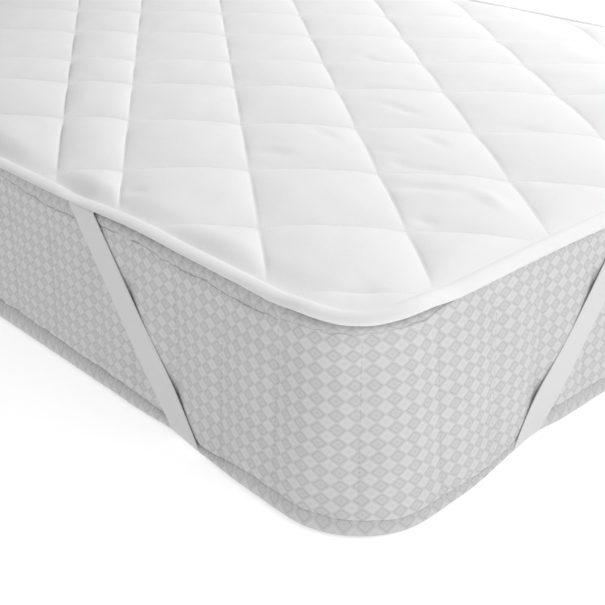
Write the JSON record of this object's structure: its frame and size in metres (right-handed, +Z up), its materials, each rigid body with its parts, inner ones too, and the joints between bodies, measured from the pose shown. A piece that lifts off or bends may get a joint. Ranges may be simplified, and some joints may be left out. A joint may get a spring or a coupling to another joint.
{
  "type": "quilted mattress protector on a mattress",
  "caption": "Quilted mattress pad with a bound edge, held on a plain mattress by elastic straps that cross under its corners.",
  "frame": {"origin": "on the floor, under the middle of the mattress", "axes": "+X across the width, +Y along the length, +Z up. The near corner, which the picture shows, is at -X, -Y."},
  "size_m": [0.924, 2.0318, 0.1975],
  "materials": {
    "pad_cloth": "white brushed microfibre, quilted",
    "binding_tape": "white folded cotton tape, stitched",
    "strap_elastic": "white flat woven elastic, smooth",
    "border_cloth": "pale grey jacquard in small nested lozenges",
    "roll_cloth": "pale grey jacquard, rolled edge"
  },
  "bodies": {
    "root": {"quilted_pad": "pad_cloth", "edge_binding": "binding_tape", "strap_near": "strap_elastic", "strap_right": "strap_elastic", "strap_far": "strap_elastic", "strap_left": "strap_elastic", "mattress_body": "border_cloth", "mattress_top_roll": "roll_cloth", "mattress_bottom_roll": "roll_cloth"}
  },
  "joints": []
}
